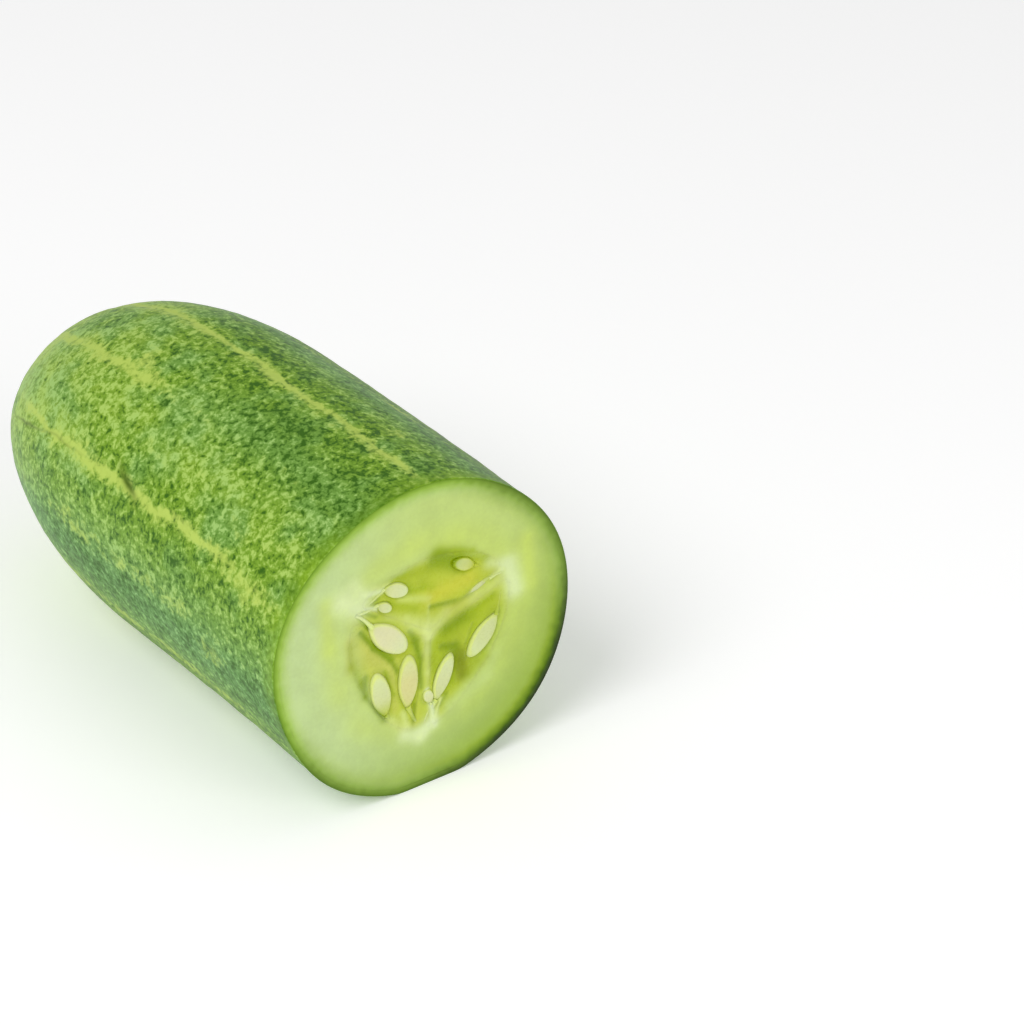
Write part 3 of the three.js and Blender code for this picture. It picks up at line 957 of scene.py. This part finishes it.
def placenta_rows(degrees, reach):
    """The knot that the stalks come out of, just under the surface of the flesh."""
    outward = polar(degrees, 1.0)
    middle = polar(degrees, reach + PLACENTA_BEYOND) + (CORE_Y, CORE_Z)
    side = np.array([-outward[1], outward[0]])
    rows, tones = [], []
    for i in range(PLACENTA_STEPS + 1):
        lift = math.cos(math.pi * i / PLACENTA_STEPS)
        lift = lift * (PLACENTA_ABOVE if lift > 0.0 else PLACENTA_BELOW)
        ring = math.sin(math.pi * i / PLACENTA_STEPS)
        steps = PLACENTA_SIDES if 0 < i < PLACENTA_STEPS else 1
        row = []
        for k in range(steps):
            turn = TURN * k / PLACENTA_SIDES
            out = outward * PLACENTA_HALF_OUT * ring * math.cos(turn)
            y, z = middle + out + side * PLACENTA_HALF_ACROSS * ring * math.sin(turn)
            row.append((lift - PLACENTA_DEPTH, y, z))
        rows.append(np.array(row))
        tones.append(np.tile(WHITE, (steps, 1)))
    return rows, tones


def make_seeds(name, degrees, reach):
    """One placenta with its stalks and seeds as a single piece."""
    shells = [placenta_rows(degrees, reach)]
    for order, (group, root, middle, angle, length, *rest) in enumerate(ALL_SEEDS):
        if group == name:
            *rest, hidden = rest
            shells.append(seed_rows(middle, angle, length, *rest, order))
            shells.append(stalk_rows(root, middle, angle, length, hidden, order))
    parts = []
    for rows, tones in shells:
        rows = [laid(row[:, 0], row[:, 1], row[:, 2], 0.0) for row in rows]
        part = rows_object("part", rows)
        set_tone(part, np.concatenate(tones))
        parts.append(part)
    bpy.ops.object.select_all(action="DESELECT")
    for part in parts:
        part.select_set(True)
    bpy.context.view_layer.objects.active = parts[0]
    bpy.ops.object.join()
    piece = parts[0]
    piece.name = "cucumber_" + name
    piece.data.name = piece.name
    return piece


# Materials

# How far noise moves the stripes and bands, in millimetres
WANDER = 3.0
FRAY = 1.8
# How strongly each noise moves the skin's lightness, and then its grain
PATCHES_AMOUNT = 0.4
CLUMPS_AMOUNT = 0.6
SPECKLE_AMOUNT = 2.4
DUSK_AMOUNT = 1.7
CRACK_WOBBLE = 1.6
WET_LOOKS = {
    # coat, scattering, size of the grain in millimetres and how much it clouds
    "flesh": (0.03, 0.3, 0.6, 0.05),
    "gel": (0.06, 0.3, 0.8, 0.05),
    "seed": (0.1, 0.25, 0.5, 0.02),
}


class Nodes:
    """Builds a material's nodes, with plain numbers or sockets as inputs."""

    def __init__(self, name):
        self.material = bpy.data.materials.new(name)
        self.material.use_nodes = True
        self.tree = self.material.node_tree
        self.shader = self.tree.nodes["Principled BSDF"]
        self.place = self.add("ShaderNodeTexCoord").outputs["Object"]

    def add(self, kind, **settings):
        node = self.tree.nodes.new(kind)
        for key, value in settings.items():
            setattr(node, key, value)
        return node

    def feed(self, socket, value):
        if isinstance(value, bpy.types.NodeSocket):
            self.tree.links.new(value, socket)
        else:
            socket.default_value = value

    def set(self, node, settings):
        for key, value in settings.items():
            self.feed(node.inputs[key], value)

    def math(self, operation, first, second=0.0, third=0.0):
        node = self.add("ShaderNodeMath", operation=operation)
        for socket, value in zip(node.inputs, (first, second, third)):
            self.feed(socket, value)
        return node.outputs[0]

    def times(self, first, second):
        return self.math("MULTIPLY", first, second)

    def scaled(self, value, factor, plus):
        """A value times a factor, plus something."""
        return self.math("MULTIPLY_ADD", value, factor, plus)

    def swayed(self, value, by, amount):
        """A value moved by noise, by up to half the amount each way."""
        return self.scaled(by, amount, self.math("SUBTRACT", value, 0.5 * amount))

    def ramp(self, value, low, high, to_low=0.0, to_high=1.0):
        node = self.add("ShaderNodeMapRange", interpolation_type="SMOOTHSTEP")
        self.set(node, {"Value": value, "From Min": low, "From Max": high})
        self.set(node, {"To Min": to_low, "To Max": to_high})
        return node.outputs["Result"]

    def mix(self, amount, under, over, mode="MIX"):
        node = self.add("ShaderNodeMix", data_type="RGBA", blend_type=mode)
        self.set(node, {"Factor": amount, "A": self.colour(under), "B": self.colour(over)})
        return node.outputs["Result"]

    @staticmethod
    def colour(value):
        return value if isinstance(value, bpy.types.NodeSocket) else (*value[:3], 1.0)

    def noise(self, size, detail=2.0, rough=0.5, stretch=(1.0, 1.0, 1.0), warp=0.0):
        """Smooth noise whose features are size millimetres across, from 0 to 1."""
        scale = self.add("ShaderNodeVectorMath", operation="MULTIPLY")
        self.feed(scale.inputs[0], self.place)
        scale.inputs[1].default_value = [factor / (size * MM) for factor in stretch]
        node = self.add("ShaderNodeTexNoise")
        self.set(node, {"Vector": scale.outputs[0], "Scale": 1.0})
        self.set(node, {"Detail": detail, "Roughness": rough, "Distortion": warp})
        return node

    def attribute(self, name, output):
        return self.add("ShaderNodeAttribute", attribute_name=name).outputs[output]

    def bump(self, height, strength, distance):
        node = self.add("ShaderNodeBump")
        self.set(node, {"Strength": strength, "Distance": distance * MM, "Height": height})
        self.set(self.shader, {"Normal": node.outputs[0]})


SKIN_DARK = srgb(52, 98, 0)
SKIN_GREEN = srgb(118, 158, 38)
SKIN_TEAL = srgb(94, 144, 76)
SKIN_YELLOW = srgb(148, 179, 54)
SKIN_OLIVE = srgb(90, 132, 0)
SKIN_LIME = srgb(140, 180, 16)
FLECK = srgb(174, 206, 100)
FLECK_TEAL = srgb(146, 194, 122)
STRIPE = srgb(182, 205, 92)
CRACK = srgb(74, 100, 12)
SCAR_BROWN = srgb(150, 140, 84)


def round_axis(m, place, shift):
    """How far a place is behind the cut, the cosine and sine of its angle round the axis, and
    how far out it is, in millimetres. The mean shift that noise gave the place is taken off."""
    split = m.add("ShaderNodeSeparateXYZ")
    m.feed(split.inputs[0], place)
    along = m.scaled(split.outputs["X"], -1.0 / MM, CUT_X + shift)
    square = m.math("POWER", m.times(along, 1.0 / LENGTH), 2.0)
    y = m.scaled(split.outputs["Y"], 1.0 / MM, -AXIS_Y - shift)
    y = m.scaled(square, BEND, y)
    z = m.scaled(split.outputs["Z"], 1.0 / MM, -AXIS_Z - shift)
    z = m.scaled(square, SAG, z)
    out = m.math("SQRT", m.math("ADD", m.times(y, y), m.times(z, z)))
    out = m.math("MAXIMUM", out, 0.1)
    return along, m.math("DIVIDE", y, out), m.math("DIVIDE", z, out), out


def skin_material():
    m = Nodes("cucumber_skin_material")
    place = m.place
    for size, detail, reach in ((9.0, 1.0, WANDER), (1.2, 2.0, FRAY)):
        shift = m.add("ShaderNodeVectorMath", operation="MULTIPLY_ADD")
        m.feed(shift.inputs[0], m.noise(size, detail=detail).outputs["Color"])
        shift.inputs[1].default_value = (reach * MM,) * 3
        m.feed(shift.inputs[2], place)
        place = shift.outputs[0]
    along, cos, sin, out = round_axis(m, place, 0.5 * (WANDER + FRAY))

    def towards(degrees):
        """Cosine of the angle between a point and a line along the fruit."""
        angle = math.radians(degrees)
        part = m.times(sin, math.sin(angle))
        return m.scaled(cos, math.cos(angle), part)

    def line_along(degrees, half, start, end, strength, ease):
        """A soft line along the fruit, which fades in and out over twice ease."""
        sharp = 1.0 / math.radians(half) ** 2
        line = m.math("EXPONENT", m.scaled(towards(degrees), sharp, -sharp))
        there = m.ramp(along, start - ease, start + ease, 0.0, strength)
        there = m.times(there, m.ramp(along, end - ease, end + ease, 1.0, 0.0))
        return m.times(line, there)

    pale = 0.0
    for degrees, half, strength, start, end in STRIPES:
        pale = m.math("MAXIMUM", pale, line_along(degrees, half, start, end, strength, STRIPE_EASE))
    for degrees, place, half_around, half_along, strength in BLOTCHES:
        sharp = (SHOULDER_RADIUS / half_around) ** 2
        line = m.scaled(towards(degrees), sharp, -sharp)
        away = m.scaled(along, 1.0 / half_along, -place / half_along)
        level = m.math("SUBTRACT", line, m.times(away, away))
        blotch = m.times(m.math("EXPONENT", level), strength)
        pale = m.math("MAXIMUM", pale, blotch)
    lightness = 0.45
    for degrees, half, start, end, strength in BANDS:
        band = line_along(degrees, half, start, end, strength, BAND_EASE)
        lightness = m.scaled(band, 0.5, lightness)

    # Teal from noise is the skin's own; the bands add more of it and a painted sheen
    teal_and_sheen = m.ramp(m.noise(8.0, detail=2.0).outputs["Fac"], 0.42, 0.66, 0.0, 0.45)
    for degrees, half, start, end, strength in TEAL_AND_SHEEN_BANDS:
        band = line_along(degrees, half, start, end, strength, BAND_EASE)
        teal_and_sheen = m.math("MAXIMUM", teal_and_sheen, band)

    patch = m.noise(11.0, detail=2.0, stretch=(0.5, 1.0, 1.0)).outputs["Fac"]
    clump = m.noise(3.2, detail=2.0, stretch=(0.7, 1.0, 1.0)).outputs["Fac"]
    speckle = m.noise(1.3, detail=3.0, rough=0.6, warp=0.5).outputs["Fac"]
    dusk = m.noise(0.8, detail=2.0, rough=0.6, warp=0.4).outputs["Fac"]
    ripe = m.ramp(along, 44.0, 96.0)
    lightness = m.swayed(m.swayed(lightness, patch, PATCHES_AMOUNT), clump, CLUMPS_AMOUNT)
    lightness = m.scaled(ripe, 0.2, lightness)
    lightness = m.scaled(pale, 0.2, lightness)

    level = m.swayed(m.swayed(lightness, speckle, SPECKLE_AMOUNT), dusk, DUSK_AMOUNT)
    middle = m.mix(teal_and_sheen, SKIN_GREEN, SKIN_TEAL)
    middle = m.mix(m.ramp(lightness, 0.5, 1.0, 0.0, 0.8), middle, SKIN_YELLOW)
    fleck = m.mix(teal_and_sheen, FLECK, FLECK_TEAL)
    colour = m.mix(m.ramp(level, -0.15, 0.5), SKIN_DARK, middle)
    colour = m.mix(m.ramp(level, 0.42, 1.0, 0.0, 0.9), colour, fleck)
    broken = m.noise(4.5, detail=2.0, stretch=(0.6, 1.0, 1.0)).outputs["Fac"]
    stripe_level = m.scaled(speckle, 1.5, m.scaled(broken, 0.9, pale))
    colour = m.mix(m.ramp(stripe_level, 1.5, 2.2, 0.0, 0.9), colour, STRIPE)
    near_cut = m.ramp(along, 0.4, 4.0, 0.5, 0.0)
    edge_tone = m.mix(m.ramp(lightness, 0.2, 0.6), SKIN_OLIVE, SKIN_LIME)
    colour = m.mix(near_cut, colour, edge_tone)
    scar = m.times(m.ramp(out, 2.4, 4.6, 0.8, 0.0), m.ramp(along, 92.0, 98.0))
    colour = m.mix(scar, colour, SCAR_BROWN)
    along, cos, sin, _ = round_axis(m, m.place, 0.0)
    for degrees, place, half_length, half_width, slant, strength in CRACKS:
        turn = math.radians(degrees)
        part = m.times(cos, -SHOULDER_RADIUS * math.sin(turn))
        across = m.scaled(sin, SHOULDER_RADIUS * math.cos(turn), part)
        across = m.swayed(across, clump, CRACK_WOBBLE)
        away = m.math("SUBTRACT", along, place)
        run = m.times(across, math.sin(slant) / half_length)
        run = m.scaled(away, math.cos(slant) / half_length, run)
        off = m.times(across, math.cos(slant) / half_width)
        off = m.scaled(away, -math.sin(slant) / half_width, off)
        size = m.math("ADD", m.times(run, run), m.times(off, off))
        crack = m.times(m.math("EXPONENT", m.times(size, -1.0)), strength)
        crack = m.times(crack, m.ramp(towards(degrees), 0.0, 0.5))
        colour = m.mix(crack, colour, CRACK)
    rim = m.attribute("rim", "Fac")
    colour = m.mix(rim, colour, m.attribute("tone", "Color"))

    m.set(m.shader, {
        "Base Color": colour,
        "Roughness": m.ramp(speckle, 0.3, 0.7, 0.42, 0.56),
        "Coat Weight": 0.05,
        "Coat Roughness": 0.35,
        "Specular IOR Level": 0.16,
    })
    m.bump(m.scaled(clump, 0.7, speckle), 0.3, 0.12)
    return m.material


def wet_material(name, coat, scatter, grain, cloud):
    """Wet flesh, gel or seed: its tone, clouded by fine grain, over soft scattering."""
    m = Nodes(name)
    tone = m.attribute("tone", "Color")
    fine = m.noise(grain, detail=3.0).outputs["Fac"]
    broad = m.noise(6.0 * grain, detail=2.0).outputs["Fac"]
    light = m.ramp(m.scaled(fine, 0.5, broad), 0.45, 1.05, 1.0 - cloud, 1.0 + cloud)
    grey = m.add("ShaderNodeCombineColor")
    m.set(grey, {"Red": light, "Green": light, "Blue": light})
    dry = m.attribute("dry", "Fac")
    m.set(m.shader, {
        "Base Color": m.mix(1.0, tone, grey.outputs[0], "MULTIPLY"),
        "Roughness": m.scaled(dry, 0.18, m.ramp(fine, 0.3, 0.7, 0.24, 0.34)),
        "Coat Weight": coat,
        "Coat Roughness": 0.15,
        "Specular IOR Level": 0.14,
        "Subsurface Weight": scatter,
        "Subsurface Radius": (1.0, 1.0, 0.35),
        "Subsurface Scale": 1.2 * MM,
    })
    m.bump(fine, 2.5 * cloud, 0.1)
    return m.material


def dress(piece, node, material):
    """Gives a piece its material, hangs it under the root body and hides the CAD part it stands for.
    """
    piece.data.materials.clear()
    piece.data.materials.append(material)
    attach(piece, "root")
    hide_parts(node)


wet = {
    slot: wet_material("cucumber_" + slot + "_material", *numbers)
    for slot, numbers in WET_LOOKS.items()
}
dress(make_skin(), "skin", skin_material())
dress(make_flesh(), "flesh", wet["flesh"])
for index, node in enumerate(CHAMBERS):
    dress(make_gel(index), node, wet["gel"])
for name, degrees, reach in PLACENTAS:
    dress(make_seeds(name, degrees, reach), name, wet["seed"])

# Floor and light, in metres and watts

PURE_WHITE = (1.0, 1.0, 1.0, 1.0)
FLOOR_HALF = 3.0
FLOOR_GLOW = 0.13
WORLD_STRENGTH = 0.52
LIGHT_TARGET = (0.0, 0.0, 0.03)
LIGHTS = [
    # name, place, size and power
    ("key", (0.25, -0.75, 0.9), 0.7, 6.3),
    ("fill", (0.9, 0.1, 0.5), 0.6, 2.0),
]


def make_floor():
    mesh = bpy.data.meshes.new("floor")
    signs = [(-1, -1), (1, -1), (1, 1), (-1, 1)]
    corners = [(FLOOR_HALF * x, FLOOR_HALF * y, 0.0) for x, y in signs]
    mesh.from_pydata(corners, [], [(0, 1, 2, 3)])
    m = Nodes("floor_material")
    m.set(m.shader, {
        "Base Color": PURE_WHITE,
        "Roughness": 0.8,
        "Emission Color": PURE_WHITE,
        "Emission Strength": FLOOR_GLOW,
    })
    mesh.materials.append(m.material)
    in_scene("floor", mesh)


def make_light(name, place, size, watts):
    data = bpy.data.lights.new(name, "AREA")
    data.shape = "DISK"
    data.size = size
    data.energy = watts
    light = in_scene(name, data)
    light.location = place
    light.rotation_mode = "QUATERNION"
    light.rotation_quaternion = (Vector(LIGHT_TARGET) - Vector(place)).to_track_quat("-Z", "Y")


make_floor()
world = bpy.data.worlds.new("studio")
world.use_nodes = True
sky = world.node_tree.nodes["Background"].inputs
sky["Color"].default_value = PURE_WHITE
sky["Strength"].default_value = WORLD_STRENGTH
bpy.context.scene.world = world
for numbers in LIGHTS:
    make_light(*numbers)

# Camera, at the photograph's viewing angle: degrees, then millimetres
VIEW_AZIMUTH = 54.42
VIEW_ELEVATION = 31.45
VIEW_DISTANCE = 535.6
VIEW_RIGHT = -13.62
VIEW_UP = -19.88
LENS = 120.0
SENSOR_WIDTH = 36.0


def make_camera():
    azimuth = math.radians(VIEW_AZIMUTH)
    elevation = math.radians(VIEW_ELEVATION)
    right = Vector((math.cos(azimuth), math.sin(azimuth), 0.0))
    back = Vector((
        math.sin(azimuth) * math.cos(elevation),
        -math.cos(azimuth) * math.cos(elevation),
        math.sin(elevation),
    ))
    up = back.cross(right)
    cut = Vector((CUT_X, AXIS_Y, AXIS_Z))
    place = cut - VIEW_RIGHT * right - VIEW_UP * up + VIEW_DISTANCE * back
    data = bpy.data.cameras.new("camera")
    data.lens = LENS
    data.sensor_width = SENSOR_WIDTH
    data.clip_start = 0.01
    data.clip_end = 20.0
    camera = in_scene("camera", data)
    turn = Matrix((right, up, back)).transposed().to_4x4()
    camera.matrix_world = Matrix.Translation(place * MM) @ turn
    bpy.context.scene.camera = camera


make_camera()
bpy.context.scene.view_settings.view_transform = "Standard"
